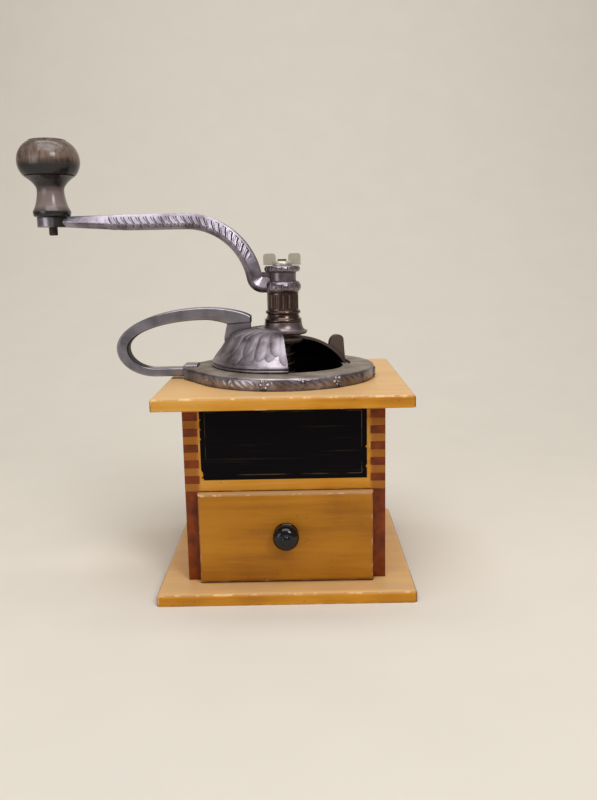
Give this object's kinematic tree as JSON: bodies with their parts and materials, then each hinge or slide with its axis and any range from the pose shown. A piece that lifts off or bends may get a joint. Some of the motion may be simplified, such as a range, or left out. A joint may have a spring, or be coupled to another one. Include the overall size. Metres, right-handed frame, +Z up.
{
  "type": "hand crank coffee grinder",
  "caption": "Box coffee mill: finger jointed wooden case with a pull-out drawer, cast iron hood with a swinging hopper cover, loop handle, and a crank that turns conical burrs.",
  "frame": {"origin": "centre of the base board's underside, on the shaft's axis", "axes": "+Z up along the shaft, -Y towards the drawer's front, -X towards the crank's knob and the loop handle"},
  "size_m": [0.2573, 0.165, 0.2952],
  "materials": {
    "case_wood": "oiled",
    "drawer_wood": "oiled",
    "polished_iron": "polished",
    "dark_iron": "as cast",
    "steel": "turned",
    "bright_nickel": "plated",
    "black_lacquer": "gloss lacquer",
    "knob_wood": "dark stain"
  },
  "bodies": {
    "mill": {"base_board": "case_wood", "left_side_panel": "case_wood", "right_side_panel": "case_wood", "front_panel": "case_wood", "back_panel": "case_wood", "top_board": "case_wood", "base_screws": "steel", "hopper_casting": "polished_iron", "casting_screws": "steel", "bearing_column": "polished_iron", "side_handle": "polished_iron", "handle_screw": "steel", "hopper_bowl": "dark_iron", "grinding_ring": "dark_iron", "ring_screws": "steel", "shaft_bridge": "dark_iron", "bridge_screws": "steel", "spring_washer": "steel", "cone_spring": "steel"},
    "drawer": {"drawer_front": "drawer_wood", "drawer_left_side": "drawer_wood", "drawer_right_side": "drawer_wood", "drawer_back": "drawer_wood", "drawer_floor": "drawer_wood", "drawer_knob": "black_lacquer", "drawer_knob_screw": "steel"},
    "hopper_cover": {"hopper_cover": "polished_iron"},
    "crank": {"crank_arm": "polished_iron", "knob_pin": "steel"},
    "spindle": {"drive_shaft": "steel", "grinding_cone": "dark_iron", "cone_nut": "steel"},
    "adjusting_nut": {"wing_nut": "bright_nickel"},
    "knob": {"crank_knob": "knob_wood"}
  },
  "joints": [
    {"name": "crank_turn", "type": "hinge", "parent": "mill", "child": "crank", "pos_m": [0, 0, 0.2], "axis": [0, 0, 1], "continuous": true},
    {"name": "nut_turn", "type": "hinge", "parent": "crank", "child": "adjusting_nut", "pos_m": [0, 0, 0.2115], "axis": [0, 0, 1], "range_deg": [-270, 450]},
    {"name": "shaft_lift", "type": "slide", "parent": "crank", "child": "spindle", "axis": [0, 0, 1], "range_m": [-0.00125, 0.00075], "deforming": ["cone_spring"]},
    {"name": "knob_spin", "type": "hinge", "parent": "crank", "child": "knob", "pos_m": [-0.1543, 0, 0.27], "axis": [0, 0, 1], "continuous": true},
    {"name": "cover_swing", "type": "hinge", "parent": "mill", "child": "hopper_cover", "pos_m": [0, 0, 0.15], "axis": [0, 0, 1], "range_deg": [-100, 46]},
    {"name": "drawer_slide", "type": "slide", "parent": "mill", "child": "drawer", "axis": [0, -1, 0], "range_m": [0, 0.09]}
  ],
  "couplings": [
    {"joint": "nut_turn", "follows": "shaft_lift", "rad_per_m": -6283.2}
  ]
}
